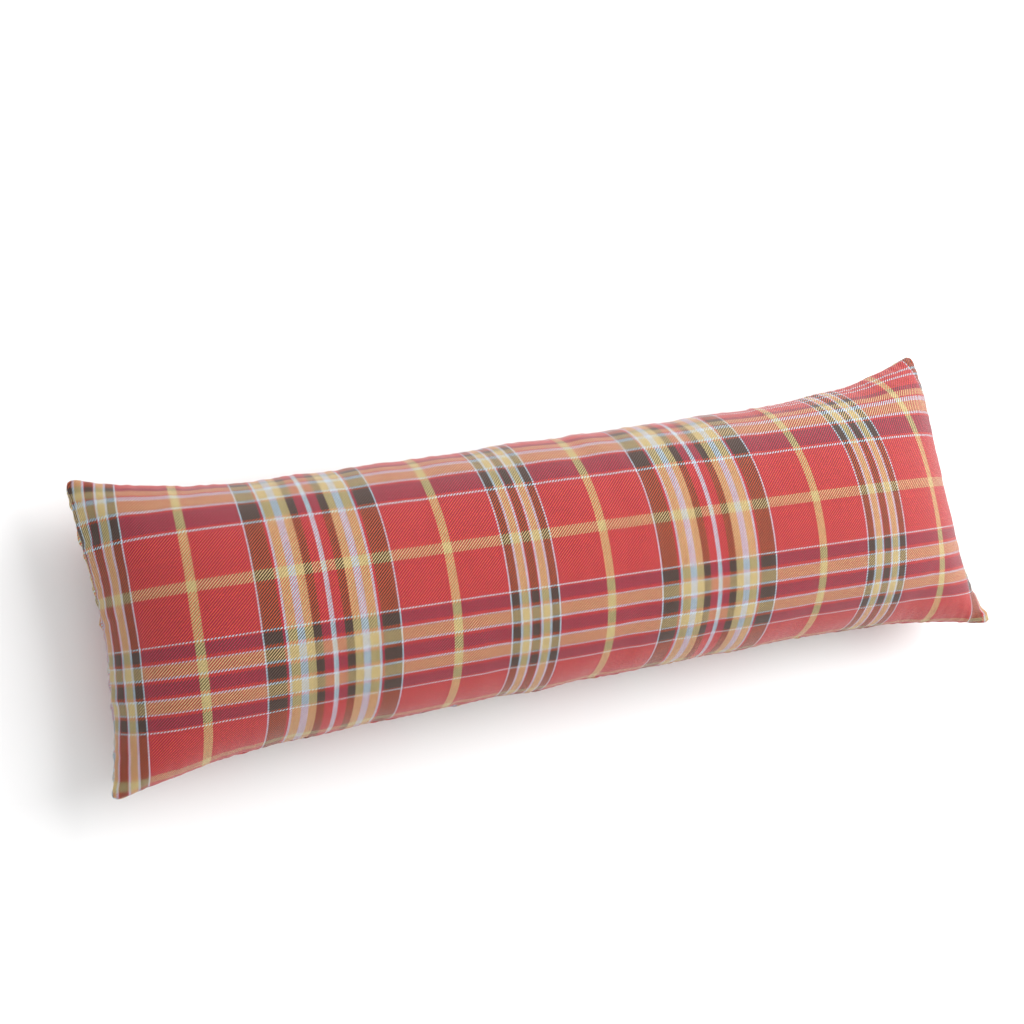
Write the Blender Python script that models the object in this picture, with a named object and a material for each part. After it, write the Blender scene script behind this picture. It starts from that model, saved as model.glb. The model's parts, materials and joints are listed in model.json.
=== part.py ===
"""Long lumbar pillow: two plain panels of checked cloth, sewn together all round and filled.

The pillow lies on its back. +X runs along its long side, +Y across it, and +Z points up, out of its face.
The origin is the middle of the underside, on the surface that the pillow rests on.

Each panel is a rectangle of cloth that hardly stretches. Filling lifts its middle into a crown, and the cloth
that goes up over the crown is missing at the seams, which draw in between the corners. So the drawn-in sides
aren't drawn by hand: they follow from the size of the empty cover and the height of the crown. The stitching
gathers the seams a little, the filling leans to one side, the ends hang, and each corner is pulled its own way.
"""
import bmesh
import bpy
import numpy as np

# Driving dimensions in metres
FLAT_LENGTH = 1.077     # seam to seam along X, with the empty cover laid flat
FLAT_WIDTH = 0.349      # seam to seam along Y, with the empty cover laid flat
CROWN = 0.0866          # height of the face's crown above the level of the seam
REST_DEPTH = 0.0735     # level of the seam above the surface that presses the underside flat
REST_BLEND = 0.005      # how softly the round underside turns into that flat
CORNER_RADIUS = 0.0116  # rounding of the sewn corners

# How the filling spreads under the cloth, from 0 in the middle to 1 at the seam:
# a higher flatness keeps the crown level for longer, a lower roundness makes the side steeper.
ALONG = {"flatness": 7.66, "roundness": 0.668}
ACROSS = {"flatness": 2.175, "roundness": 0.595}

# Share of a seam's length that the stitching takes up, and how soon that dies out away from the seam
LONG_SEAM_GATHER = {"share": 0.0183, "power": 1.74}
SHORT_SEAM_GATHER = {"share": 0.0991, "power": 9.13}

# How the whole filling lies, in metres
LEAN = (0.0072, -0.0065)    # shift of the crown's top along X and Y
HANG = 0.0095               # drop of both ends below the middle
CURVE = -0.0019             # shift of both ends along Y

# Pull on each corner along X, Y and Z, in metres, by the sides of the pillow that meet there
CORNER_PULLS = {
    (-1, 1): (0.0117, 0.0105, 0.0032),
    (1, 1): (-0.0158, 0.0192, -0.0049),
    (-1, -1): (0.0023, -0.0035, 0.0015),
    (1, -1): (0.0040, -0.0044, 0.0041),
}
PULL_POWER = 3.82           # power of the place: how soon a pull dies out away from its corner

# Slow waves that the stitching leaves in the seam, in metres
WAVE_COLUMNS = ("length", "up_and_down", "in_and_out")
SEAM_WAVES = (
    (0.212, 0.0007, 0.0005),
    (0.131, 0.0007, 0.0006),
    (0.083, 0.0006, 0.0005),
)
WAVE_REACH = 7          # power of the place: how soon a wave dies out away from the seam

# Mesh of one panel
CELLS_ALONG = 80
CELLS_ACROSS = 24
CROWDING = 0.55         # share of the cells' spacing that crowds towards the seams, where the cloth bends most

CURVE_STEPS = 60
HEIGHT_STEPS = 16
SETTLING_ROUNDS = 8
HALVINGS = 34

CLOTH_COLOUR = (0.43, 0.075, 0.065, 1.0)
CLOTH_ROUGHNESS = 0.88


def swell(place, shape):
    """Height of the filled cloth as a share of the crown, from 1 in the middle to 0 at the seam."""
    return np.clip(1.0 - np.abs(place) ** shape["flatness"], 0.0, 1.0) ** shape["roundness"]


def thread_curve(half_span, height, shape):
    """Places from the middle to the seam, and the length of thread that lies up to each of them."""
    place = np.sin(np.linspace(0.0, np.pi / 2, CURVE_STEPS))
    pieces = np.hypot(np.diff(place) * half_span, np.diff(swell(place, shape)) * height)
    return place, np.concatenate([[0.0], np.cumsum(pieces)])


def drawn_in(half_cloth, height, shape):
    """Half the distance between two seams whose cloth goes up over a crown of this height."""
    shortest = 0.4 * half_cloth
    longest = half_cloth
    for _ in range(HALVINGS):
        half_span = 0.5 * (shortest + longest)
        if thread_curve(half_span, height, shape)[1][-1] > half_cloth:
            longest = half_span
        else:
            shortest = half_span
    return half_span


def thread_table(half_cloth, shape):
    """For crowns from none to full: the half span, and the place of each fraction of the thread."""
    heights = np.linspace(0.0, CROWN, HEIGHT_STEPS)
    spans = np.array([drawn_in(half_cloth, height, shape) for height in heights])
    fractions = np.linspace(0.0, 1.0, CURVE_STEPS)
    places = np.empty((HEIGHT_STEPS, CURVE_STEPS))
    for row in range(HEIGHT_STEPS):
        place, thread = thread_curve(spans[row], heights[row], shape)
        places[row] = np.interp(fractions, thread / thread[-1], place)
    return {"heights": heights, "spans": spans, "places": places}


def place_on_thread(table, fraction, height):
    """Place of a fraction of the thread under a crown of this height, read between the table's entries."""
    row = np.clip(height / CROWN, 0.0, 1.0) * (HEIGHT_STEPS - 1)
    column = np.clip(fraction, 0.0, 1.0) * (CURVE_STEPS - 1)
    row_low = np.minimum(row.astype(int), HEIGHT_STEPS - 2)
    column_low = np.minimum(column.astype(int), CURVE_STEPS - 2)
    row_part = row - row_low
    column_part = column - column_low
    places = table["places"]
    low = places[row_low, column_low] * (1 - column_part) + places[row_low, column_low + 1] * column_part
    high = places[row_low + 1, column_low] * (1 - column_part) + places[row_low + 1, column_low + 1] * column_part
    return low * (1 - row_part) + high * row_part


def filled_cloth(along, across):
    """Plan position, and height above the seam as a share of the crown, of points of the cloth.

    The points are given as fractions of the cloth from middle to seam. A thread along X crosses the crown at a
    height that depends on its place across, and the other way round, so the two places are worked out in turn
    until they agree.
    """
    table_along = thread_table(FLAT_LENGTH / 2, ALONG)
    table_across = thread_table(FLAT_WIDTH / 2, ACROSS)
    place_along = np.abs(along)
    place_across = np.abs(across)
    for _ in range(SETTLING_ROUNDS):
        ridge_along = CROWN * swell(place_across, ACROSS)
        ridge_across = CROWN * swell(place_along, ALONG)
        place_along = place_on_thread(table_along, np.abs(along), ridge_along)
        place_across = place_on_thread(table_across, np.abs(across), ridge_across)
    ridge_along = CROWN * swell(place_across, ACROSS)
    ridge_across = CROWN * swell(place_along, ALONG)
    x = np.sign(along) * place_along * np.interp(ridge_along, table_along["heights"], table_along["spans"])
    y = np.sign(across) * place_across * np.interp(ridge_across, table_across["heights"], table_across["spans"])
    return x, y, swell(place_along, ALONG) * swell(place_across, ACROSS)


def gathered(x, y, along, across):
    """Plan positions with every seam shortened, as stitching pulls it up."""
    x = x * (1.0 - LONG_SEAM_GATHER["share"] * np.abs(across) ** LONG_SEAM_GATHER["power"])
    y = y * (1.0 - SHORT_SEAM_GATHER["share"] * np.abs(along) ** SHORT_SEAM_GATHER["power"])
    return x, y


def round_corners(x, y, along, across):
    """Plan positions with the square of each corner squeezed into a quarter of a disc."""
    into_x = np.clip(1.0 - (1.0 - np.abs(along)) * FLAT_LENGTH / 2 / CORNER_RADIUS, 0.0, 1.0)
    into_y = np.clip(1.0 - (1.0 - np.abs(across)) * FLAT_WIDTH / 2 / CORNER_RADIUS, 0.0, 1.0)
    cut_x = into_x * (1.0 - np.sqrt(1.0 - into_y ** 2 / 2)) * CORNER_RADIUS
    cut_y = into_y * (1.0 - np.sqrt(1.0 - into_x ** 2 / 2)) * CORNER_RADIUS
    return x - np.sign(along) * cut_x, y - np.sign(across) * cut_y


def lie_of_filling(x, lift):
    """Shifts in x, y and z by the crown's lean, the hanging ends and the slight curve of the whole pillow."""
    bend = (x / (FLAT_LENGTH / 2)) ** 2
    return np.stack([LEAN[0] * lift, LEAN[1] * lift + CURVE * bend, -HANG * bend], axis=-1)


def corner_pulls(along, across):
    """Shifts in x, y and z that each corner's own pull gives the cloth around it."""
    reach = np.abs(along * across) ** PULL_POWER
    shift = np.zeros(along.shape + (3,))
    for (side_x, side_y), pull in CORNER_PULLS.items():
        here = reach * (np.sign(along) == side_x) * (np.sign(across) == side_y)
        shift += here[..., None] * np.array(pull)
    return shift


def seam_waves(x, y, along, across):
    """Small shifts in x, y and z that let the stitched edge run unevenly and die out inside the panel."""
    near_long_seam = np.abs(across) ** WAVE_REACH * np.clip(1.0 - np.abs(along) ** WAVE_REACH, 0.0, 1.0)
    near_short_seam = np.abs(along) ** (4 * WAVE_REACH) * np.clip(1.0 - np.abs(across) ** WAVE_REACH, 0.0, 1.0)
    shift = np.zeros(along.shape + (3,))
    for number, wave_row in enumerate(SEAM_WAVES):
        wave = dict(zip(WAVE_COLUMNS, wave_row))
        turn_x = 2 * np.pi * x / wave["length"] + number + np.sign(across)
        turn_y = 2 * np.pi * y / wave["length"] + number + np.sign(along)
        shift[..., 0] += wave["in_and_out"] * near_short_seam * np.cos(turn_y)
        shift[..., 1] += wave["in_and_out"] * near_long_seam * np.cos(turn_x)
        shift[..., 2] += wave["up_and_down"] * (near_long_seam * np.sin(turn_x) + near_short_seam * np.sin(turn_y))
    return shift


def pressed_flat(depth):
    """Depth of the underside below the seam, softly stopped by the surface that it rests on."""
    overlap = np.clip(REST_BLEND - np.abs(depth - REST_DEPTH), 0.0, None)
    return np.minimum(depth, REST_DEPTH) - overlap ** 2 / (4 * REST_BLEND)


def crowded(cells):
    """Fractions from -1 to 1 that lie closer together towards both ends."""
    even = np.linspace(-1.0, 1.0, cells + 1)
    return (1 - CROWDING) * even + CROWDING * np.sin(even * np.pi / 2)


def panel_points():
    """Grids of points for the face and for the underside, which share the seam all round."""
    along, across = np.meshgrid(crowded(CELLS_ALONG), crowded(CELLS_ACROSS), indexing="ij")
    x, y, lift = filled_cloth(along, across)
    shift = seam_waves(x, y, along, across) + corner_pulls(along, across)
    x, y = gathered(x, y, along, across)
    x, y = round_corners(x, y, along, across)
    shift += lie_of_filling(x, lift)
    face = np.stack([x, y, CROWN * lift], axis=-1) + shift
    underside = np.stack([x, y, -CROWN * lift], axis=-1) + shift
    underside[..., 2] = np.maximum(-pressed_flat(-underside[..., 2]), -REST_DEPTH)
    seam = np.zeros(along.shape, dtype=bool)
    seam[[0, -1], :] = True
    seam[:, [0, -1]] = True
    underside[seam] = face[seam]
    points = np.concatenate([face.reshape(-1, 3), underside.reshape(-1, 3)])
    middle = (points.min(axis=0) + points.max(axis=0)) / 2
    origin = np.array([middle[0], middle[1], -REST_DEPTH])
    return face - origin, underside - origin


def sewn_mesh(name):
    """One closed mesh of both panels, with a single row of points for the seam."""
    face, underside = panel_points()
    rows, columns = face.shape[:2]
    face_index = np.arange(rows * columns).reshape(rows, columns)
    inner = np.zeros((rows, columns), dtype=bool)
    inner[1:-1, 1:-1] = True
    under_index = face_index.copy()
    under_index[inner] = rows * columns + np.arange(inner.sum())
    points = np.concatenate([face.reshape(-1, 3), underside[inner]])

    def quads(index):
        return np.stack([index[:-1, :-1], index[1:, :-1], index[1:, 1:], index[:-1, 1:]], axis=-1).reshape(-1, 4)

    polygons = np.concatenate([quads(face_index), quads(under_index)[:, ::-1]])
    mesh = bpy.data.meshes.new(name)
    mesh.from_pydata(points.tolist(), [], polygons.tolist())
    sewn = bmesh.new()
    sewn.from_mesh(mesh)
    bmesh.ops.triangulate(sewn, faces=sewn.faces, quad_method="SHORT_EDGE")
    bmesh.ops.recalc_face_normals(sewn, faces=sewn.faces)
    sewn.to_mesh(mesh)
    sewn.free()
    mesh.shade_smooth()
    return mesh


def cloth_material():
    """Matt woven cloth in the checks' main red."""
    material = bpy.data.materials.new("checked_cloth")
    material.use_nodes = True
    shader = material.node_tree.nodes["Principled BSDF"]
    shader.inputs["Base Color"].default_value = CLOTH_COLOUR
    shader.inputs["Roughness"].default_value = CLOTH_ROUGHNESS
    shader.inputs["Metallic"].default_value = 0.0
    return material


def clear_scene():
    """Take every object out of the scene."""
    for thing in list(bpy.data.objects):
        bpy.data.objects.remove(thing, do_unlink=True)


def build_cushion():
    """The filled pillow as one solid."""
    cushion = bpy.data.objects.new("cushion", sewn_mesh("cushion"))
    cushion.data.materials.append(cloth_material())
    bpy.context.scene.collection.objects.link(cushion)
    return cushion


clear_scene()
build_cushion()
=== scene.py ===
# %% [markdown]
# A long lumbar pillow in checked cloth
#
# A filled pillow is two flat panels of cloth, sewn together all round and stuffed. Everything that
# makes it look real follows from that: the cloth hardly stretches, so what goes up over the crown is
# missing at the seams, the sides draw in, the corners stay flat and pointed, and the check bends with
# the cloth. A rounded box, pushed about by hand, would be quicker, but then the check would have to be
# bent by hand too. So this lesson works the pillow out from the flat cover, lets a cloth simulation
# crease it, and then weaves the check thread by thread in the material.

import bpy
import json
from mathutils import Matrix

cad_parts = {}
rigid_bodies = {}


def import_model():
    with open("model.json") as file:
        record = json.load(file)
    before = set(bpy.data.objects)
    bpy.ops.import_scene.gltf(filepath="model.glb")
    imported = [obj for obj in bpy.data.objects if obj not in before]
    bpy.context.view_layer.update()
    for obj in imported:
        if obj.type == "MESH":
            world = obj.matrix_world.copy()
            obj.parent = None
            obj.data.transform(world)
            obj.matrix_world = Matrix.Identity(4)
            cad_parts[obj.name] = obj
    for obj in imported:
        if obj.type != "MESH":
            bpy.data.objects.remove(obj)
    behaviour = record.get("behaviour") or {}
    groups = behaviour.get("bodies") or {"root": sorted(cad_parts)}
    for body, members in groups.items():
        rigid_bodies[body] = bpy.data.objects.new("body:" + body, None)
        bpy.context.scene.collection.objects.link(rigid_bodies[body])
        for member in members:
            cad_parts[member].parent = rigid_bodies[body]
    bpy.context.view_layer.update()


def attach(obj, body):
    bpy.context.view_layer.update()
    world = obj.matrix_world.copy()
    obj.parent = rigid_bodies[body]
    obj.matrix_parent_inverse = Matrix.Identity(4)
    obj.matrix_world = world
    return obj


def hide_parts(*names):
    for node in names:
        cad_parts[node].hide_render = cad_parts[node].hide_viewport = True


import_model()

# %% Modules
import json
import math

import bpy
import numpy as np
from mathutils import Matrix, Vector

print("Blender", bpy.app.version_string, "with numpy", np.__version__)

# %% [markdown] The cover's sizes  The sizes are those of the empty cover, from seam to seam, and of the
# crown above the level of the seam. Each panel holds a fixed number of threads each way, so the size of
# one thread follows, and with it the scale of the whole check. The warp is the set of threads that runs
# across the pillow here, and the weft runs along it.

# %% Sizes in metres and threads
FLAT_LENGTH = 1.077
FLAT_WIDTH = 0.349
CROWN = 0.0866
REST_DEPTH = 0.0735
REST_BLEND = 0.005
CORNER_RADIUS = 0.0116
ALONG = {"flatness": 7.66, "roundness": 0.668}
ACROSS = {"flatness": 2.175, "roundness": 0.595}

WARP_THREADS = 1256
WEFT_THREADS = 427
warp_pitch = FLAT_LENGTH / WARP_THREADS
weft_pitch = FLAT_WIDTH / WEFT_THREADS
print("one warp thread: %.2f mm" % (1000 * warp_pitch))
print("one weft thread: %.2f mm" % (1000 * weft_pitch))

# %% [markdown]
# Cloth that goes up over a crown
#
# Across the pillow, the filled cloth makes a rounded arch. Its height at a place s, from 0 in the middle
# to 1 at the seam, is (1 - s^flatness)^roundness of the crown. The thread that runs over the arch has a
# fixed length, half the flat cover, so the arch's span is whatever makes the two equal. There is no
# closed formula for that length, so the span is found by halving an interval.

# %% One thread over the crown
CURVE_STEPS = 60


def swell(place, shape):
    """Height as a share of the crown: one minus the place to the flatness, all to the roundness."""
    return np.clip(1.0 - np.abs(place) ** shape["flatness"], 0.0, 1.0) ** shape["roundness"]


def thread_curve(half_span, height, shape):
    """Places from middle to seam, and the length of thread up to each: a sum of straight steps."""
    place = np.sin(np.linspace(0.0, np.pi / 2, CURVE_STEPS))
    pieces = np.hypot(np.diff(place) * half_span, np.diff(swell(place, shape)) * height)
    return place, np.concatenate([[0.0], np.cumsum(pieces)])


straight_thread = thread_curve(FLAT_WIDTH / 2, CROWN, ACROSS)[1][-1]
print("without drawing in, half the width would need %.0f mm of thread" % (1000 * straight_thread))

# %% How far the sides draw in
HALVINGS = 34
SHORTEST_SHARE = 0.4


def drawn_in(half_cloth, height, shape):
    """Half the distance between two seams whose cloth goes up over a crown, by halving."""
    shortest = SHORTEST_SHARE * half_cloth
    longest = half_cloth
    for _ in range(HALVINGS):
        half_span = 0.5 * (shortest + longest)
        if thread_curve(half_span, height, shape)[1][-1] > half_cloth:
            longest = half_span
        else:
            shortest = half_span
    return half_span


middle_span = 2 * drawn_in(FLAT_WIDTH / 2, CROWN, ACROSS)
print("the filled pillow is %.0f mm wide in the middle" % (1000 * middle_span))

# %% [markdown]
# Every thread at once
#
# Each point of the panel lies on one thread along X and one along Y. How high a thread climbs depends on
# where the other one carries it, so the two places are worked out in turn until they agree. To do that
# for every point at once, the arch is first worked out for a few crown heights and kept in a table, and
# the points are looked up between its rows.

# %% Tables of threads
HEIGHT_STEPS = 16


def thread_table(half_cloth, shape):
    """For crowns from none to full: the half span, and the place of each fraction of the thread."""
    heights = np.linspace(0.0, CROWN, HEIGHT_STEPS)
    spans = np.array([drawn_in(half_cloth, height, shape) for height in heights])
    fractions = np.linspace(0.0, 1.0, CURVE_STEPS)
    places = np.empty((HEIGHT_STEPS, CURVE_STEPS))
    for row in range(HEIGHT_STEPS):
        place, thread = thread_curve(spans[row], heights[row], shape)
        places[row] = np.interp(fractions, thread / thread[-1], place)
    return {"heights": heights, "spans": spans, "places": places}


def between(table, row, column):
    """Values at fractional rows and columns: the average of the four entries around, by nearness."""
    row = np.clip(row, 0.0, table.shape[0] - 1.0)
    column = np.clip(column, 0.0, table.shape[1] - 1.0)
    row_low = np.minimum(row.astype(int), table.shape[0] - 2)
    column_low = np.minimum(column.astype(int), table.shape[1] - 2)
    row_part = row - row_low
    column_part = column - column_low
    if table.ndim == 3:
        row_part = row_part[..., None]
        column_part = column_part[..., None]
    low = table[row_low, column_low] * (1 - column_part)
    low = low + table[row_low, column_low + 1] * column_part
    high = table[row_low + 1, column_low] * (1 - column_part)
    high = high + table[row_low + 1, column_low + 1] * column_part
    return low * (1 - row_part) + high * row_part


TABLE_ALONG = thread_table(FLAT_LENGTH / 2, ALONG)
TABLE_ACROSS = thread_table(FLAT_WIDTH / 2, ACROSS)
print("half spans along, in mm:", np.round(1000 * TABLE_ALONG["spans"][[0, -1]], 1))
print("half spans across, in mm:", np.round(1000 * TABLE_ACROSS["spans"][[0, -1]], 1))

# %% The filled panel
SETTLING_ROUNDS = 8


def filled_cloth(along, across):
    """Plan position and share of the crown of points given as fractions from middle to seam.

    Each place is looked up in its own table, at the crown height that the other place gives."""
    place_along = np.abs(along)
    place_across = np.abs(across)
    column_along = np.abs(along) * (CURVE_STEPS - 1)
    column_across = np.abs(across) * (CURVE_STEPS - 1)
    for _ in range(SETTLING_ROUNDS):
        row_along = swell(place_across, ACROSS) * (HEIGHT_STEPS - 1)
        row_across = swell(place_along, ALONG) * (HEIGHT_STEPS - 1)
        place_along = between(TABLE_ALONG["places"], row_along, column_along)
        place_across = between(TABLE_ACROSS["places"], row_across, column_across)
    height_along = CROWN * swell(place_across, ACROSS)
    height_across = CROWN * swell(place_along, ALONG)
    span_x = np.interp(height_along, TABLE_ALONG["heights"], TABLE_ALONG["spans"])
    span_y = np.interp(height_across, TABLE_ACROSS["heights"], TABLE_ACROSS["spans"])
    x = np.sign(along) * place_along * span_x
    y = np.sign(across) * place_across * span_y
    return x, y, swell(place_along, ALONG) * swell(place_across, ACROSS)


test_x, test_y, test_lift = filled_cloth(np.array([0.0, 1.0]), np.array([0.0, 1.0]))
print("crown in the middle: %.0f mm" % (1000 * CROWN * test_lift[0]))
print("corner at %.0f, %.0f mm" % (1000 * test_x[1], 1000 * test_y[1]))

# %% [markdown]
# Seams, corners and the lie of the filling
#
# A real pillow isn't as even as that. The stitching takes up a little of every seam and runs in slow
# waves. The filling leans to one side, so the whole pillow looks a little twisted, and both ends hang.
# Each corner has been pulled its own way by the hands that shook the pillow up. Underneath, the surface
# that it rests on stops the cloth softly. Random noise would give unevenness too, but of no particular
# kind. Small shifts, each with one cause, stay easy to change one by one.

# %% Gathered seams and round corners
LONG_SEAM_GATHER = {"share": 0.0183, "power": 1.74}
SHORT_SEAM_GATHER = {"share": 0.0991, "power": 9.13}


def gathered(x, y, along, across):
    """Positions times one minus the gathered share, which grows as a power towards a seam."""
    x_share = LONG_SEAM_GATHER["share"] * np.abs(across) ** LONG_SEAM_GATHER["power"]
    y_share = SHORT_SEAM_GATHER["share"] * np.abs(along) ** SHORT_SEAM_GATHER["power"]
    return x * (1.0 - x_share), y * (1.0 - y_share)


def into_corner(fraction, half_side):
    """From 0 where the corner's rounding starts to 1 at the seam."""
    return np.clip(1.0 - (1.0 - np.abs(fraction)) * half_side / CORNER_RADIUS, 0.0, 1.0)


def round_corners(x, y, along, across):
    """Positions with the square at each corner squeezed into a quarter of a disc.

    Each moves in by the radius times itself, times 1 - root(1 - half the square of the other)."""
    into_x = into_corner(along, FLAT_LENGTH / 2)
    into_y = into_corner(across, FLAT_WIDTH / 2)
    cut_x = into_x * (1.0 - np.sqrt(1.0 - into_y ** 2 / 2)) * CORNER_RADIUS
    cut_y = into_y * (1.0 - np.sqrt(1.0 - into_x ** 2 / 2)) * CORNER_RADIUS
    return x - np.sign(along) * cut_x, y - np.sign(across) * cut_y


print("the stitching takes up %.0f%% of a long seam and %.0f%% of a short one" %
      (100 * LONG_SEAM_GATHER["share"], 100 * SHORT_SEAM_GATHER["share"]))

# %% Lean, hanging ends and pulled corners
LEAN = (0.0072, -0.0065)
HANG = 0.0095
CURVE = -0.0019
CORNER_PULLS = {
    (-1, 1): (0.0117, 0.0105, 0.0032),
    (1, 1): (-0.0158, 0.0192, -0.0049),
    (-1, -1): (0.0023, -0.0035, 0.0015),
    (1, -1): (0.0040, -0.0044, 0.0041),
}
PULL_POWER = 3.82


def lie_of_filling(x, lift):
    """Shifts by the crown's lean, as a share of the height, and by the hanging ends, as x squared."""
    bend = (x / (FLAT_LENGTH / 2)) ** 2
    return np.stack([LEAN[0] * lift, LEAN[1] * lift + CURVE * bend, -HANG * bend], axis=-1)


def corner_pulls(along, across):
    """Each corner's own pull, times a power of the product of both places, which is 1 at the corner."""
    reach = np.abs(along * across) ** PULL_POWER
    shift = np.zeros(along.shape + (3,))
    for (side_x, side_y), pull in CORNER_PULLS.items():
        here = reach * (np.sign(along) == side_x) * (np.sign(across) == side_y)
        shift += here[..., None] * np.array(pull)
    return shift


print("longest corner pull: %.0f mm" % (1000 * max(map(np.linalg.norm, CORNER_PULLS.values()))))

# %% Waves in the seam
WAVE_COLUMNS = ("length", "up_and_down", "in_and_out")
SEAM_WAVES = (
    (0.212, 0.0007, 0.0005),
    (0.131, 0.0007, 0.0006),
    (0.083, 0.0006, 0.0005),
)
WAVE_REACH = 7
SHORT_SEAM_REACH = 28


def near_seam(towards, other, reach):
    """A high power of the place towards a seam, faded out by the other place near the corners."""
    return np.abs(towards) ** reach * np.clip(1.0 - np.abs(other) ** WAVE_REACH, 0.0, 1.0)


def seam_waves(x, y, along, across):
    """Shifts in x, y and z: sines along each seam, which fade away from it."""
    near_long = near_seam(across, along, WAVE_REACH)
    near_short = near_seam(along, across, SHORT_SEAM_REACH)
    shift = np.zeros(along.shape + (3,))
    for number, wave_row in enumerate(SEAM_WAVES):
        wave = dict(zip(WAVE_COLUMNS, wave_row))
        turn_x = 2 * np.pi * x / wave["length"] + number + np.sign(across)
        turn_y = 2 * np.pi * y / wave["length"] + number + np.sign(along)
        up_and_down = near_long * np.sin(turn_x) + near_short * np.sin(turn_y)
        shift[..., 0] += wave["in_and_out"] * near_short * np.cos(turn_y)
        shift[..., 1] += wave["in_and_out"] * near_long * np.cos(turn_x)
        shift[..., 2] += wave["up_and_down"] * up_and_down
    return shift


print("waves in the seam, lengths in mm:", [round(1000 * row[0]) for row in SEAM_WAVES])

# %% Both panels
def pressed_flat(depth):
    """Depth below the seam, stopped by the surface: the lesser of the two, rounded where they meet."""
    overlap = np.clip(REST_BLEND - np.abs(depth - REST_DEPTH), 0.0, None)
    return np.minimum(depth, REST_DEPTH) - overlap ** 2 / (4 * REST_BLEND)


def on_the_seam(shape):
    """True on the border of a grid of points, which is where the two panels are sewn together."""
    seam = np.zeros(shape, dtype=bool)
    seam[[0, -1], :] = True
    seam[:, [0, -1]] = True
    return seam


def both_panels(along, across):
    """Points of the face and of the underside. The seam's level is zero, and both share the seam."""
    x, y, lift = filled_cloth(along, across)
    shift = seam_waves(x, y, along, across) + corner_pulls(along, across)
    x, y = gathered(x, y, along, across)
    x, y = round_corners(x, y, along, across)
    shift += lie_of_filling(x, lift)
    face = np.stack([x, y, CROWN * lift], axis=-1) + shift
    underside = np.stack([x, y, -CROWN * lift], axis=-1) + shift
    underside[..., 2] = np.maximum(-pressed_flat(-underside[..., 2]), -REST_DEPTH)
    seam = on_the_seam(along.shape)
    underside[seam] = face[seam]
    return face, underside


print("a depth equal to the rest's is rounded to %.2f mm" %
      (1000 * pressed_flat(np.array([REST_DEPTH]))[0]))

# %% [markdown]
# The origin
#
# The solid model's origin is the middle of its box, on the surface that the pillow rests on. The pulled
# corners make the shape a little lopsided, so the middle can't simply be the cover's own. It is worked
# out once, on the solid model's own spacing of points, and everything is then measured from it.

# %% Spacing of points
def crowded(cells, crowding):
    """Fractions from -1 to 1: an even row mixed with a sine, so they crowd towards both ends."""
    even = np.linspace(-1.0, 1.0, cells + 1)
    return (1 - crowding) * even + crowding * np.sin(even * np.pi / 2)


def grid(fractions_along, fractions_across):
    """Two arrays with the fraction along and the fraction across of every point of the panel."""
    return np.meshgrid(fractions_along, fractions_across, indexing="ij")


print("a crowded row of four cells:", np.round(crowded(4, 0.5), 3))

# %% The middle of the pillow
SOLID_CELLS_ALONG = 80
SOLID_CELLS_ACROSS = 24
SOLID_CROWDING = 0.55


def middle_of_box():
    """Half way between the lowest and highest X and Y of the solid model, and Z on the surface."""
    along, across = grid(crowded(SOLID_CELLS_ALONG, SOLID_CROWDING),
                         crowded(SOLID_CELLS_ACROSS, SOLID_CROWDING))
    points = np.concatenate([panel.reshape(-1, 3) for panel in both_panels(along, across)])
    middle = (points.min(axis=0) + points.max(axis=0)) / 2
    return np.array([middle[0], middle[1], -REST_DEPTH])


ORIGIN = middle_of_box()
print("origin in the flat cover's own frame, in mm:", np.round(1000 * ORIGIN, 1))

# %% [markdown]
# The camera
#
# The pillow lies on its back, so the camera looks down on it: it stands well to the left of the straight
# line out of the face, a little towards the near long side, and is rolled so that the pillow's long side
# climbs to the right. A long lens from about two metres gives the narrowing from the left end to the
# right one. Aiming with a Track To constraint would leave the roll out, so the three directions of the
# camera are worked out and set as a matrix.

# %% The camera
PICTURE_SIDE = 1024
CAMERA_TURN = 0.3776
CAMERA_TILT = -0.1026
CAMERA_ROLL = -0.2000
CAMERA_DISTANCE = 2.0867
CAMERA_SHIFT = (-0.0547, 0.0518)
FOCAL_PIXELS = 1891.0
SENSOR_MM = 36.0


def into_scene(thing):
    """Links an object to the scene and gives it back."""
    bpy.context.scene.collection.objects.link(thing)
    return thing


def look_at_pillow():
    """A camera turned and tilted about the middle of the seam's level, then moved in its own plane."""
    away = Vector((-math.sin(CAMERA_TURN) * math.cos(CAMERA_TILT), math.sin(CAMERA_TILT),
                   math.cos(CAMERA_TURN) * math.cos(CAMERA_TILT)))
    level = Vector((0.0, 1.0, 0.0)).cross(away).normalized()
    upright = away.cross(level)
    right = math.cos(CAMERA_ROLL) * level + math.sin(CAMERA_ROLL) * upright
    up = -math.sin(CAMERA_ROLL) * level + math.cos(CAMERA_ROLL) * upright
    place = CAMERA_DISTANCE * away + CAMERA_SHIFT[0] * right + CAMERA_SHIFT[1] * up - Vector(ORIGIN)
    camera = into_scene(bpy.data.objects.new("camera", bpy.data.cameras.new("camera")))
    turn = Matrix((right, up, away)).transposed().to_4x4()
    camera.matrix_world = Matrix.Translation(place) @ turn
    camera.data.sensor_width = SENSOR_MM
    camera.data.lens = SENSOR_MM * FOCAL_PIXELS / PICTURE_SIDE
    bpy.context.scene.camera = camera
    return camera


camera = look_at_pillow()
print("camera at", [round(v, 3) for v in camera.location], "lens %.1f mm" % camera.data.lens)

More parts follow.
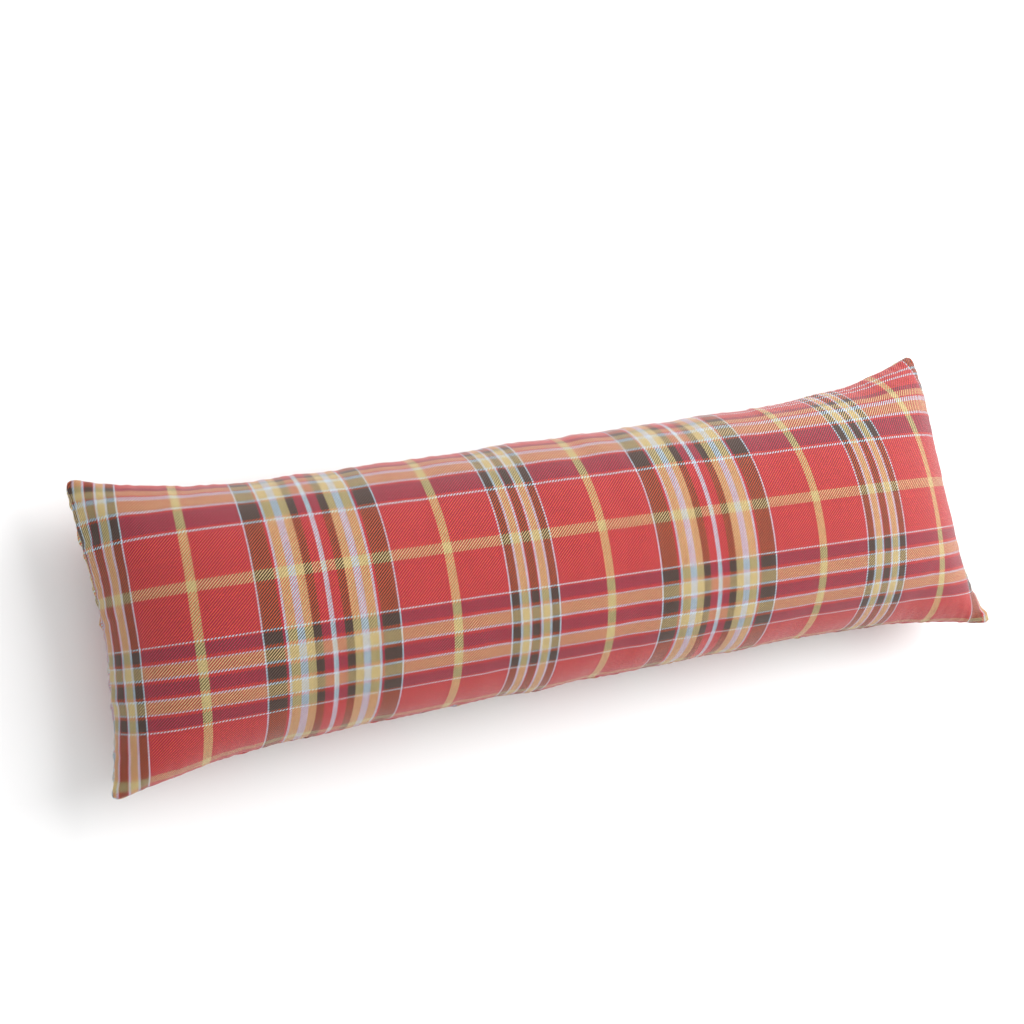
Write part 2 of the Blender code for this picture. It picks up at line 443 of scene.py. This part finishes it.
# %% [markdown]
# One mesh from two panels
#
# The face and the underside share the row of points at the seam, which closes the mesh. Each corner of
# each cell carries the place of its thread in the flat cloth as a UV map, whose square stands for a large
# piece of cloth. A pattern on Object coordinates would run straight through the pillow, but one on this
# map follows the cloth. The back panel is cut from the same cloth a little further along, and is seen
# from the other side, so its own X runs the other way. Towards the near seam, but not at its left end, a
# little more cloth is eased in than lies flat, so the last threads there run closer together.

# %% Where a point lies in the flat cover
EASED_IN = 0.0114
EASED_AT = 0.918
EASE_POWER = 9
EASE_START = -0.87
EASE_FULL = -0.68


def flat_places(along, across):
    """Flat places in metres: corners rounded, and cloth eased into the near seam as a high power."""
    begun = np.clip((along - EASE_START) / (EASE_FULL - EASE_START), 0.0, 1.0)
    eased = EASED_IN * begun * np.clip(-across / EASED_AT, 0.0, None) ** EASE_POWER
    flat_y = across * FLAT_WIDTH / 2 - eased
    return round_corners(along * FLAT_LENGTH / 2, flat_y, along, across)


near_seam_y = flat_places(np.array([0.0]), np.array([-1.0]))[1][0]
print("cloth eased in at the near seam: %.0f mm" % (-1000 * near_seam_y - 1000 * FLAT_WIDTH / 2))

# %% Sewing the panels
BACK_OFFSET = (0.0105, 0.047)
BACK_TURNED = (-1.0, 1.0)
UV_SIDE = 2.5


def cell_corners(index):
    """The four corners of each cell of a grid, in turn."""
    corners = [index[:-1, :-1], index[1:, :-1], index[1:, 1:], index[:-1, 1:]]
    return np.stack(corners, axis=-1).reshape(-1, 4)


def joined_points(face, underside):
    """The whole face, then the underside without the border that it shares with the face."""
    return np.concatenate([face.reshape(-1, 3), underside[~on_the_seam(face.shape[:2])]])


def cloth_map(face_cells, flat_x, flat_y):
    """UV of every cell's corners: the flat place over the side of the map, counted from its middle."""
    cloth = np.stack([flat_x.ravel(), flat_y.ravel()], axis=-1)
    face_places = cloth[face_cells.ravel()]
    back_places = cloth[face_cells[:, ::-1].ravel()] * np.array(BACK_TURNED) + np.array(BACK_OFFSET)
    return np.concatenate([face_places, back_places]) / UV_SIDE + 0.5


def sewn_mesh(name, face, underside, flat_x, flat_y):
    """Joins both grids of points at their shared border and stores the flat place on each corner."""
    rows, columns = face.shape[:2]
    face_index = np.arange(rows * columns).reshape(rows, columns)
    inner = ~on_the_seam((rows, columns))
    under_index = face_index.copy()
    under_index[inner] = rows * columns + np.arange(inner.sum())
    points = joined_points(face, underside)
    face_cells = cell_corners(face_index)
    back_cells = cell_corners(under_index)[:, ::-1]
    corners = np.concatenate([face_cells, back_cells]).ravel()

    mesh = bpy.data.meshes.new(name)
    mesh.vertices.add(len(points))
    mesh.vertices.foreach_set("co", points.ravel())
    mesh.loops.add(len(corners))
    mesh.loops.foreach_set("vertex_index", corners)
    mesh.polygons.add(len(corners) // 4)
    mesh.polygons.foreach_set("loop_start", np.arange(0, len(corners), 4))
    mesh.update(calc_edges=True)
    uv = cloth_map(face_cells, flat_x, flat_y)
    mesh.uv_layers.new(name="cloth").data.foreach_set("uv", uv.astype(np.float32).ravel())
    mesh.shade_smooth()
    return mesh


print("the map's square of cloth is %.1f m wide, its middle at 0.5, 0.5" % UV_SIDE)

# %% [markdown]
# Letting the cloth crease
#
# The arches give a smooth pillow. What they leave out is the small folds that cloth falls into where it
# is held short, along the seams and in the corners. They could be sculpted or faked with noise, but
# Blender's cloth solver knows where they belong. So a coarse copy of the pillow goes through it. Its
# threads want the lengths that they have in the flat cover, the stitching shortens the seam a little,
# and the filling pushes from inside as a pressure. Only the short folds of the result are kept: the long
# swells are what a blur leaves, and they are taken off again. A firm filling irons most of the folds out
# of the middle, so only a small share of them stays there.

# %% A pillow for the solver
SIM_ALONG = 150
SIM_ACROSS = 50


def pillow_for_solver(face, underside, along, across):
    """A closed coarse pillow with two shapes, filled and flat, and its seam as a vertex group."""
    flat_x, flat_y = flat_places(along, across)
    flat = np.stack([flat_x, flat_y, np.zeros_like(flat_x)], axis=-1)
    mesh = sewn_mesh("coarse_pillow", face, underside, flat_x, flat_y)
    pillow = into_scene(bpy.data.objects.new("coarse_pillow", mesh))
    pillow.shape_key_add(name="filled")
    flat_key = pillow.shape_key_add(name="flat")
    flat_key.data.foreach_set("co", joined_points(flat, flat).ravel())
    seam = pillow.vertex_groups.new(name="seam")
    seam.add(np.flatnonzero(on_the_seam(face.shape[:2]).ravel()).tolist(), 1.0, "REPLACE")
    return pillow


print("the solver's cells are %.1f mm long" % (1000 * FLAT_LENGTH / SIM_ALONG))

# %% The cloth solver
SIM_FRAMES = 16
CLOTH_SETTINGS = {
    "quality": 6,
    "mass": 0.15,
    "tension_stiffness": 30.0,
    "compression_stiffness": 30.0,
    "shear_stiffness": 8.0,
    "bending_stiffness": 0.2,
    "air_damping": 3.0,
    "use_pressure": True,
    "uniform_pressure_force": 4.0,
    "vertex_group_shrink": "seam",
    "shrink_max": 0.05,
}


def points_after_solver(pillow):
    """Runs the cloth solver frame by frame, reads where the points end up, and removes the pillow."""
    modifier = pillow.modifiers.new("cloth", "CLOTH")
    for name, value in CLOTH_SETTINGS.items():
        setattr(modifier.settings, name, value)
    modifier.settings.rest_shape_key = pillow.data.shape_keys.key_blocks["flat"]
    modifier.settings.effector_weights.gravity = 0.0
    modifier.point_cache.frame_end = SIM_FRAMES
    for step in range(1, SIM_FRAMES + 1):
        bpy.context.scene.frame_set(step)
    solved = pillow.evaluated_get(bpy.context.evaluated_depsgraph_get()).data
    after = np.empty(3 * len(solved.vertices))
    solved.vertices.foreach_get("co", after)
    bpy.data.objects.remove(pillow)
    bpy.context.scene.frame_set(1)
    return after.reshape(-1, 3)


print("frames for the solver to run:", SIM_FRAMES)

# %% Keeping the short folds
BLUR_ROUNDS = 30
FOLD_LIMIT = 0.004
SHARE_AT_SEAM = 0.30
SHARE_IN_MIDDLE = 0.12
SEAM_REACH = 0.035


def blurred(values, rounds):
    """Each round, every entry becomes half itself and a quarter of either neighbour, both ways."""
    for _ in range(rounds):
        for axis in (0, 1):
            ends = [values.take([0], axis), values, values.take([-1], axis)]
            padded = np.concatenate(ends, axis)
            count = values.shape[axis]
            before = padded.take(range(0, count), axis)
            after = padded.take(range(2, count + 2), axis)
            values = 0.5 * values + 0.25 * (before + after)
    return values


def seam_distance(along, across):
    """Distance in the flat cloth from the nearest seam, in metres."""
    from_short_seam = (1.0 - np.abs(along)) * FLAT_LENGTH / 2
    from_long_seam = (1.0 - np.abs(across)) * FLAT_WIDTH / 2
    return np.minimum(from_short_seam, from_long_seam)


def short_folds(moves, along, across):
    """Movements without their blur, cut to the limit, times a share that decays from the seam."""
    folds = moves - blurred(moves, BLUR_ROUNDS)
    length = np.linalg.norm(folds, axis=-1, keepdims=True)
    nearness = np.exp(-seam_distance(along, across) / SEAM_REACH)
    share = SHARE_IN_MIDDLE + (SHARE_AT_SEAM - SHARE_IN_MIDDLE) * nearness
    return folds * share[..., None] * (FOLD_LIMIT / np.maximum(length, FOLD_LIMIT))


print("longest fold that is kept: %.1f mm at the seam" % (1000 * FOLD_LIMIT * SHARE_AT_SEAM))

# %% The folds of both panels
def folds_of_both_panels():
    """Runs the solver and gives the folds of the face and of the underside, as two grids."""
    along, across = grid(np.linspace(-1.0, 1.0, SIM_ALONG + 1), np.linspace(-1.0, 1.0, SIM_ACROSS + 1))
    face, underside = both_panels(along, across)
    after = points_after_solver(pillow_for_solver(face, underside, along, across))
    moved = after - joined_points(face, underside)
    face_moves = moved[:along.size].reshape(face.shape)
    under_moves = face_moves.copy()
    under_moves[~on_the_seam(along.shape)] = moved[along.size:]
    print("cloth solver: mean move %.1f mm" % (1000 * np.linalg.norm(moved, axis=1).mean()))
    return short_folds(face_moves, along, across), short_folds(under_moves, along, across)


face_folds, under_folds = folds_of_both_panels()
print("folds up to %.1f mm" % (1000 * np.linalg.norm(face_folds, axis=-1).max()))

# %% [markdown]
# The fine surface
#
# The pillow's own mesh is finer, most of all near the seams. Along the seam the cloth turns in to the
# stitches, which leaves a narrow groove with a soft lip on each side, and the thread pulls it into small
# puckers that run straight away from the seam and die out. They are too small for the solver's cells,
# and a bump map wouldn't show on the outline. So all of it is a distance along the surface's own
# normals, worked out by formula.

# %% Normals
TINY = 1e-12


def unit(vectors):
    """Vectors over their own lengths, safe where a length is zero."""
    return vectors / np.maximum(np.linalg.norm(vectors, axis=-1, keepdims=True), TINY)


def grid_normals(points):
    """Upward normals of a grid of points: the cross product of its slopes in both directions."""
    return unit(np.cross(np.gradient(points, axis=0), np.gradient(points, axis=1)))


print("a unit vector:", unit(np.array([[0.0, 3.0, 4.0]]))[0])

# %% Groove, lips and puckers
LIP_HEIGHT = 0.0011
LIP_START = 0.0016
LIP_END = 0.0080
GROOVE_DEPTH = 0.0008
GROOVE_WIDTH = 0.0008
PUCKER_HEIGHT = 0.0007
PUCKER_REACH = 0.016
PUCKER_LENGTHS = (0.0131, 0.0187, 0.0241, 0.0333, 0.0479)
LENGTH_PHASE = 1.7
PANEL_PHASE = 2.3
END_PHASE = 3.1
END_FULLNESS = (1.7, 2.4)


def puckers(run, nearer_long, along, across, panel):
    """Sines of several lengths along the seam, out of step on each side and on each panel."""
    waves = np.zeros(along.shape)
    side = np.where(nearer_long, np.sign(across), END_PHASE * np.sign(along))
    for number, length in enumerate(PUCKER_LENGTHS):
        phase = LENGTH_PHASE * number + PANEL_PHASE * panel + side
        waves += np.sin(2 * np.pi * run / length + phase) / len(PUCKER_LENGTHS) ** 0.5
    return PUCKER_HEIGHT * waves


def seam_relief(along, across, panel):
    """Height over the smooth cloth: a lip that rises and fades, minus a narrow bell, plus puckers.

    Along the short seams the lip and the puckers are larger, most of all on the underside, panel 1."""
    distance = seam_distance(along, across)
    rise = 1.0 - np.exp(-distance / LIP_START)
    lip = LIP_HEIGHT * rise * np.exp(-distance / LIP_END)
    groove = GROOVE_DEPTH * np.exp(-(distance / GROOVE_WIDTH) ** 2)
    nearer_long = (1.0 - np.abs(across)) * FLAT_WIDTH < (1.0 - np.abs(along)) * FLAT_LENGTH
    run = np.where(nearer_long, along * FLAT_LENGTH / 2, across * FLAT_WIDTH / 2)
    pucker = puckers(run, nearer_long, along, across, panel) * rise * np.exp(-distance / PUCKER_REACH)
    fullness = np.where(nearer_long, 1.0, END_FULLNESS[panel])
    return fullness * (lip + pucker) - groove


print("on the seam itself the cloth lies %.1f mm deeper" %
      (-1000 * seam_relief(np.array([0.0]), np.array([1.0]), 0)[0]))

# %% The pillow's mesh
FINE_ALONG = 400
FINE_ACROSS = 108
CROWDING_ALONG = 0.6
CROWDING_ACROSS = 0.75
FOLD_SOFTENING = 2


def fine_folds(folds, along, across):
    """The solver's folds, looked up between its points and softened."""
    row = (along + 1.0) * SIM_ALONG / 2
    column = (across + 1.0) * SIM_ACROSS / 2
    return blurred(between(folds, row, column), FOLD_SOFTENING)


def fine_panels(along, across):
    """Both panels with folds and seam relief, the origin moved to where the solid model has it.

    On the seam both panels use one normal, the direction half way between their own two."""
    face, underside = both_panels(along, across)
    face_normals = grid_normals(face)
    under_normals = -grid_normals(underside)
    seam = on_the_seam(along.shape)
    outward = unit(face_normals[seam] + under_normals[seam])
    face_normals[seam] = outward
    under_normals[seam] = outward
    face = face + fine_folds(face_folds, along, across)
    underside = underside + fine_folds(under_folds, along, across)
    face += face_normals * seam_relief(along, across, 0)[..., None]
    underside += under_normals * seam_relief(along, across, 1)[..., None]
    underside[seam] = face[seam]
    underside[..., 2] = np.maximum(underside[..., 2], -REST_DEPTH)
    return face - ORIGIN, underside - ORIGIN


along, across = grid(crowded(FINE_ALONG, CROWDING_ALONG), crowded(FINE_ACROSS, CROWDING_ACROSS))
cushion_mesh = sewn_mesh("cushion_cloth", *fine_panels(along, across), *flat_places(along, across))
cushion = into_scene(bpy.data.objects.new("cushion_cloth", cushion_mesh))
print("pillow: %d points, %d cells" % (len(cushion_mesh.vertices), len(cushion_mesh.polygons)))

# %% [markdown]
# Shader maths as plain expressions
#
# A material is a network of nodes. Wiring them by hand hides the sum that they do, so a small class
# wraps one output socket and turns Python's own operators into Math nodes. One method, node, adds any
# other kind of node: its settings come first, and then the values or links of its inputs, called i0, i1
# and so on by their place, or by name.

# %% A value in a material
def set_stops(colour_ramp, stops):
    """Hard-edged bands of colour: each stop is a place from 0 to 1 and the colour that starts there."""
    colour_ramp.interpolation = "CONSTANT"
    while len(colour_ramp.elements) > 1:
        colour_ramp.elements.remove(colour_ramp.elements[-1])
    colour_ramp.elements[0].position, colour_ramp.elements[0].color = stops[0]
    for position, colour in stops[1:]:
        colour_ramp.elements.new(position).color = colour


class Flow:
    """One output of a node. Arithmetic on it adds Math nodes to the same material."""

    def __init__(self, tree, socket):
        self.tree = tree
        self.socket = socket

    def node(self, kind, settings=None, output=0, **values):
        """Adds a node: its settings first, then a value or a link for each input; gives an output."""
        node = self.tree.nodes.new(kind)
        for name, value in (settings or {}).items():
            if name == "stops":
                set_stops(node.color_ramp, value)
            else:
                setattr(node, name, value)
        for name, value in values.items():
            self.feed(node.inputs[int(name[1:]) if name[1:].isdigit() else name], value)
        return Flow(self.tree, node.outputs[output])

    def feed(self, socket, value):
        """Links a flow to an input, or sets a plain number or colour on it."""
        if isinstance(value, Flow):
            self.tree.links.new(value.socket, socket)
        else:
            socket.default_value = value

    def math(self, operation, *others):
        """A Math node on this value and up to two others."""
        values = {"i%d" % (number + 1): other for number, other in enumerate(others)}
        return self.node("ShaderNodeMath", {"operation": operation}, i0=self, **values)

    def __add__(self, other):
        return self.math("ADD", other)

    def __sub__(self, other):
        return self.math("SUBTRACT", other)

    def __rsub__(self, other):
        return self.node("ShaderNodeMath", {"operation": "SUBTRACT"}, i0=other, i1=self)

    def __mul__(self, other):
        return self.math("MULTIPLY", other)

    def __truediv__(self, other):
        return self.math("DIVIDE", other)

    def __mod__(self, other):
        return self.math("FLOORED_MODULO", other)

    def __lt__(self, other):
        return self.math("LESS_THAN", other)

    __radd__ = __add__
    __rmul__ = __mul__


print("methods of a flow:", [name for name in vars(Flow) if not name.startswith("_")])

# %% Materials and their colours
def new_material(name):
    """An empty Principled material, its shader, and a flow to start from."""
    material = bpy.data.materials.new(name)
    material.use_nodes = True
    tree = material.node_tree
    return material, tree.nodes["Principled BSDF"], Flow(tree, None)


def mixed(share, first, second):
    """A Mix node on two colours. The share of the second may be past 0 or 1, the result may not."""
    settings = {"data_type": "RGBA", "clamp_factor": False, "clamp_result": True}
    return share.node("ShaderNodeMix", settings, output=2, i0=share, i6=first, i7=second)


def shaded(colour, tone_and_painted_shade):
    """A colour times a grey of the given brightness: a Vector Math node scales it."""
    return colour.node("ShaderNodeVectorMath", {"operation": "SCALE"}, i0=colour, i3=tone_and_painted_shade)


cloth_material, cloth_shader, start = new_material("checked_twill")
print("material:", cloth_material.name, "with shader", cloth_shader.name)

# %% [markdown]
# The sett
#
# A check like this is written down as a sett: which colour of yarn comes next, and how many threads of
# it. Both setts here read from the middle of the small check to the middle of the wide one, where they
# turn round and run back, so half of each is enough. The check could be painted as crossing bands, but
# counting threads puts every band's edge between two threads, as on a loom. The warp's red is a cool
# crimson and the weft's red a warm brick colour. Side by side they read as one lively red, and where
# black crosses them it turns plum one way and brown the other.

# %% Yarns and setts
SHARED_YARNS = {
    "black": (0.053, 0.028, 0.020, 1.0),
    "sky": (0.44, 0.54, 0.63, 1.0),
}
WARP_YARNS = dict(SHARED_YARNS, red=(0.430, 0.012, 0.050, 1.0), straw=(0.520, 0.410, 0.175, 1.0))
WEFT_YARNS = dict(SHARED_YARNS, red=(0.470, 0.055, 0.003, 1.0), straw=(0.490, 0.345, 0.150, 1.0))
WARP_SETT = (
    ("black", 5), ("red", 1), ("sky", 3), ("straw", 9), ("sky", 3), ("black", 10), ("sky", 2),
    ("red", 64), ("straw", 11), ("red", 64),
    ("sky", 2), ("black", 22), ("red", 3), ("sky", 3), ("straw", 11), ("sky", 9), ("straw", 10),
    ("black", 10), ("red", 11), ("sky", 4),
)
WEFT_SETT = (
    ("black", 8), ("red", 3), ("sky", 3), ("straw", 15), ("sky", 3), ("red", 3), ("black", 15),
    ("red", 3), ("sky", 2), ("red", 60), ("straw", 14), ("red", 63),
    ("sky", 2), ("red", 4), ("black", 26), ("red", 4), ("sky", 3), ("straw", 17), ("sky", 7),
    ("red", 3), ("straw", 10), ("black", 7), ("red", 14), ("sky", 2), ("red", 4),
)


def stripes(thread_number, sett, yarns):
    """A thread's colour: its number folded back and forth over the half sett, looked up in a ramp."""
    half = sum(threads for _, threads in sett)
    stops = []
    passed = 0
    for name, threads in sett:
        stops.append((passed / half, yarns[name]))
        passed += threads
    place = thread_number.math("PINGPONG", float(half)) / float(half)
    return place.node("ShaderNodeValToRGB", {"stops": stops}, i0=place)


for name, sett in (("warp", WARP_SETT), ("weft", WEFT_SETT)):
    print(name, "repeats every", 2 * sum(threads for _, threads in sett), "threads")

# %% [markdown]
# A two-and-two twill
#
# Each weft thread passes over two warp threads and under two, and the next one starts one thread further
# on. So warp thread i lies on top of weft thread j where (i - j) modulo 4 is small, which draws the
# slanting lines of a twill. The warp is the tighter set, so its floats look a little longer than the
# weft's. Modelling half a million floats as geometry would be far too heavy, and a wave texture has no
# threads in it, so the weave is arithmetic on thread numbers.

# %% Thread numbers
WARP_MIDDLE = 605.65
WEFT_MIDDLE = 88.15
WARP_SLANT = 0.0381
WEFT_SLANT = 0.0230

cloth_uv = start.node("ShaderNodeUVMap", {"uv_map": "cloth"})
flat_x = (start.node("ShaderNodeSeparateXYZ", i0=cloth_uv) - 0.5) * UV_SIDE
flat_y = (start.node("ShaderNodeSeparateXYZ", output=1, i0=cloth_uv) - 0.5) * UV_SIDE
warp = (flat_x - flat_y * WARP_SLANT) / warp_pitch + WARP_MIDDLE
weft = (flat_y + flat_x * WEFT_SLANT) / weft_pitch + WEFT_MIDDLE
warp_number = warp.math("FLOOR")
weft_number = weft.math("FLOOR")
print("the check is cut %.1f degrees off the straight" % math.degrees(math.atan(WEFT_SLANT)))

# %% Which thread lies on top
WEAVE_REPEAT = 4.0
WEFT_FLOAT_LENGTH = 2.0
WARP_FLOAT_LENGTH = 2.5

along_warp_float = (warp_number - weft + WARP_FLOAT_LENGTH / 2) % WEAVE_REPEAT
along_weft_float = (warp - weft_number - WEFT_FLOAT_LENGTH) % WEAVE_REPEAT
warp_on_top = along_warp_float < WARP_FLOAT_LENGTH
weft_on_top = 1.0 - warp_on_top
print("the warp shows on %.0f%% of the cloth" % (100 * WARP_FLOAT_LENGTH / WEAVE_REPEAT))

# %% [markdown]
# Floats, ridges and painted light
#
# A thread on top rises between the two places where it dives, and it is round from side to side. That
# relief bumps the surface, and it is also painted into the colour as shade, darker in the valleys and at
# the dives. Spun yarn is uneven, so every thread has its own tone and every float a little of its own
# too.
# The weft floats are painted a little lighter and the warp floats a little darker. From two metres away
# a thread is only half as wide again as a dot of the picture, which averages half of so fine a hatch
# away.
# So it is drawn a little stronger than it is: each float goes past its own colour, away from the colour
# that it crosses. Painted light and shade run along the slanting ridges, and a pale painted highlight
# lies on their lit side and hazes the whole cloth a little.

# %% Relief of the floats
DIVE_HEIGHT = 0.35


def float_relief(across_thread, along_float):
    """Height of a float: a round back, one minus the square, that rises as a sine between dives."""
    centred = across_thread * 2.0 - 1.0
    round_back = 1.0 - centred * centred
    rise = (along_float * (math.pi / WEFT_FLOAT_LENGTH)).math("SINE")
    return round_back * (DIVE_HEIGHT + (1.0 - DIVE_HEIGHT) * rise)


as_weft_length = WEFT_FLOAT_LENGTH / WARP_FLOAT_LENGTH
warp_relief = float_relief(warp - warp_number, along_warp_float * as_weft_length)
weft_relief = float_relief(weft - weft_number, along_weft_float)
relief = warp_on_top * warp_relief + weft_on_top * weft_relief
print("a float of the weft is %.1f mm long" % (1000 * WEFT_FLOAT_LENGTH * warp_pitch))

# %% Painted shade and random tone of each thread and float
PAINTED_VALLEY_SHADE = 0.75
PAINTED_SHADE_GAIN = 1.5
PAINTED_WARP_SHADE = 0.95
PAINTED_WEFT_LIGHT = 1.03
THREAD_UNEVENNESS = 0.15
FLOAT_UNEVENNESS = 0.50
WEFT_NUMBERS_FROM = 2000

warp_or_weft = warp_on_top * (warp_number + 0.5) + weft_on_top * (weft_number + (WEFT_NUMBERS_FROM + 0.5))
thread_noise = start.node("ShaderNodeTexWhiteNoise", {"noise_dimensions": "1D"}, i1=warp_or_weft)
crossing = start.node("ShaderNodeCombineXYZ", i0=warp_number + 0.5, i1=weft_number + 0.5)
float_noise = start.node("ShaderNodeTexWhiteNoise", {"noise_dimensions": "2D"}, i0=crossing)
# Painted shade: each float's colour is darker in the valleys beside it and where it dives, by its relief.
tone_and_painted_shade = PAINTED_VALLEY_SHADE + (1.0 - PAINTED_VALLEY_SHADE) * PAINTED_SHADE_GAIN * relief
# Painted light and shade by which thread is on top: weft floats a little lighter, warp floats darker.
tone_and_painted_shade = tone_and_painted_shade * (PAINTED_WEFT_LIGHT + (PAINTED_WARP_SHADE - PAINTED_WEFT_LIGHT) * warp_on_top)
tone_and_painted_shade = tone_and_painted_shade * (1.0 + THREAD_UNEVENNESS * (thread_noise - 0.5))
tone_and_painted_shade = tone_and_painted_shade * (1.0 + FLOAT_UNEVENNESS * (float_noise - 0.5))
print("the darkest float is %.0f%% of the lightest" %
      (100 * (1 - FLOAT_UNEVENNESS / 2) / (1 + FLOAT_UNEVENNESS / 2)))

# %% The cloth's colour, with painted ridge light and shade and a painted highlight
HATCH_CONTRAST = 0.18
RIDGE_START = 2.20
PAINTED_RIDGE_SHADE = 0.40
PAINTED_HIGHLIGHT_SHARE = 0.019
HIGHLIGHT_COLOUR = (0.90, 0.87, 0.85, 1.0)

warp_share = warp_on_top * (1.0 + 2 * HATCH_CONTRAST) - HATCH_CONTRAST
yarn_colour = mixed(warp_share, stripes(weft_number + 0.5, WEFT_SETT, WEFT_YARNS),
                    stripes(warp_number + 0.5, WARP_SETT, WARP_YARNS))
ridge = ((warp - weft - RIDGE_START) * (2 * math.pi / WEAVE_REPEAT)).math("SINE")
# Painted light and shade along the slanting ridges.
tone_and_painted_shade = tone_and_painted_shade * (1.0 + PAINTED_RIDGE_SHADE * ridge)
# Painted highlight: a pale haze over the whole cloth, strongest on the lit side of each ridge.
painted_highlight = (1.0 + ridge) * PAINTED_HIGHLIGHT_SHARE
cloth_colour = mixed(painted_highlight, shaded(yarn_colour, tone_and_painted_shade), HIGHLIGHT_COLOUR)
start.feed(cloth_shader.inputs["Base Color"], cloth_colour)
print("ridges lie %.1f mm apart" % (1000 * WEAVE_REPEAT / math.hypot(1 / warp_pitch, 1 / weft_pitch)))

# %% [markdown]
# The cloth's finish
#
# Twill of spun yarn is matt, but its loose fibres catch light that grazes it, so it looks paler where it
# turns away. A glossy coat would put a highlight on the crown that the real cloth hasn't, so the sheen
# of the Principled shader does it. A small bump from the floats' own relief breaks the light up thread
# by thread.

# %% Bump, roughness and sheen
BUMP_STRENGTH = 0.5
THREAD_HEIGHT = 0.0004
CLOTH_FINISH = {
    "Roughness": 0.88,
    "Specular IOR Level": 0.25,
    "Sheen Weight": 0.50,
    "Sheen Roughness": 0.43,
    "Sheen Tint": (1.0, 0.87, 0.85, 1.0),
}

bump = start.node("ShaderNodeBump", Height=relief, Strength=BUMP_STRENGTH, Distance=THREAD_HEIGHT)
start.feed(cloth_shader.inputs["Normal"], bump)
for name, value in CLOTH_FINISH.items():
    cloth_shader.inputs[name].default_value = value
cushion.data.materials.append(cloth_material)
print("nodes in the cloth:", len(cloth_material.node_tree.nodes))

# %% [markdown]
# Floor and light
#
# A plain pale floor under an even white sky. A wide soft light from above and to the right makes the
# right end the brighter one, and a much weaker one from the near right side lifts the near slope. Small
# lamps would draw hard shadows over the folds, so both lamps are large.

# %% The floor
FLOOR_HALF_SIDE = 6.0
FLOOR_DROP = 0.0005
FLOOR_COLOUR = (0.96, 0.96, 0.96, 1.0)
FLOOR_ROUGHNESS = 0.9


def plain_floor():
    """A large flat floor just under the pillow, in a pale matt finish."""
    half = FLOOR_HALF_SIDE
    corners = [(-half, -half, 0), (half, -half, 0), (half, half, 0), (-half, half, 0)]
    mesh = bpy.data.meshes.new("floor")
    mesh.from_pydata(corners, [], [(0, 1, 2, 3)])
    floor = into_scene(bpy.data.objects.new("floor", mesh))
    floor.location.z = -FLOOR_DROP
    material, shader, _ = new_material("pale_floor")
    shader.inputs["Base Color"].default_value = FLOOR_COLOUR
    shader.inputs["Roughness"].default_value = FLOOR_ROUGHNESS
    mesh.materials.append(material)
    return floor


plain_floor()
print("floor: %.0f m wide" % (2 * FLOOR_HALF_SIDE))

# %% The lights
LIGHTS = {
    "key": {"place": (2.3, 0.8, 2.2), "target": (0.1, 0.0, 0.05), "size": 2.8, "power": 115.0},
    "fill": {"place": (1.2, -2.2, 1.6), "target": (0.2, 0.0, 0.05), "size": 2.5, "power": 3.0},
}
SKY_COLOUR = (1.0, 1.0, 1.0, 1.0)
SKY_STRENGTH = 0.79


def soft_light(name, place, target, size, power):
    """A square lamp that faces its target."""
    lamp = bpy.data.lights.new(name, "AREA")
    lamp.shape = "SQUARE"
    lamp.size = size
    lamp.energy = power
    light = into_scene(bpy.data.objects.new(name, lamp))
    light.location = place
    towards = Vector(target) - Vector(place)
    light.rotation_euler = towards.to_track_quat("-Z", "Y").to_euler()


for name, light in LIGHTS.items():
    soft_light(name, **light)
world = bpy.data.worlds.new("studio")
world.use_nodes = True
sky = world.node_tree.nodes["Background"]
sky.inputs["Color"].default_value = SKY_COLOUR
sky.inputs["Strength"].default_value = SKY_STRENGTH
bpy.context.scene.world = world
bpy.context.scene.view_settings.view_transform = "Standard"
print("lights:", list(LIGHTS), "under a sky of strength", SKY_STRENGTH)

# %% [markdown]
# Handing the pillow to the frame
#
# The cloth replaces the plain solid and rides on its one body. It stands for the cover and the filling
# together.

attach(cushion, "root")
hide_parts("cushion")
print("piece that rides on the root body:", cushion.name)
